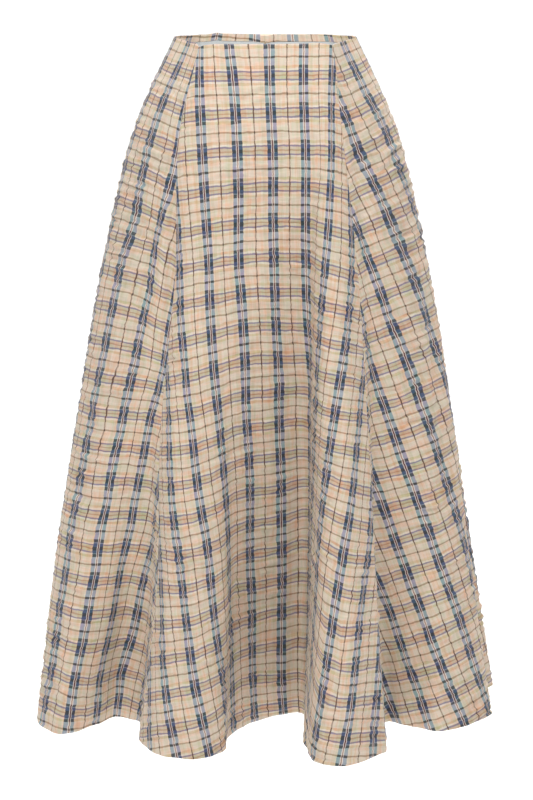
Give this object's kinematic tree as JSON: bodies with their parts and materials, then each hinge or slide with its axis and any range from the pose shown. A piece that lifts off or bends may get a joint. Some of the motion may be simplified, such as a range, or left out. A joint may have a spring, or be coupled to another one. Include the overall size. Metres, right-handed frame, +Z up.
{
  "type": "midi skirt",
  "caption": "High-waisted flared midi skirt in crinkled check cloth, worn form with deep soft folds at the hem, inner waist tape and concealed back zip.",
  "frame": {"origin": "middle of the waist opening, level with the front's waist edge", "axes": "+Z up, front faces -Y, +X to the right as seen from the front"},
  "size_m": [0.6451, 0.514, 0.9323],
  "materials": {
    "check_cloth": "crinkled cotton blend, cream with a blue, brown and ochre check",
    "waist_tape": "pale ribbed tape",
    "zip_tape": "woven tape",
    "zip_metal": "cream enamel"
  },
  "bodies": {
    "skirt": {"front_panel": "check_cloth", "side_panel_left": "check_cloth", "side_panel_right": "check_cloth", "back_panel_left": "check_cloth", "back_panel_right": "check_cloth", "waist_tape": "waist_tape", "zip_tape_left": "zip_tape", "zip_tape_right": "zip_tape", "zip_slider": "zip_metal"},
    "pull": {"zip_pull": "zip_metal"}
  },
  "joints": [
    {"name": "pull_swing", "type": "hinge", "parent": "skirt", "child": "pull", "pos_m": [0, 0.09158, -0.00419], "axis": [1, 0, 0], "range_deg": [0, 150]}
  ]
}
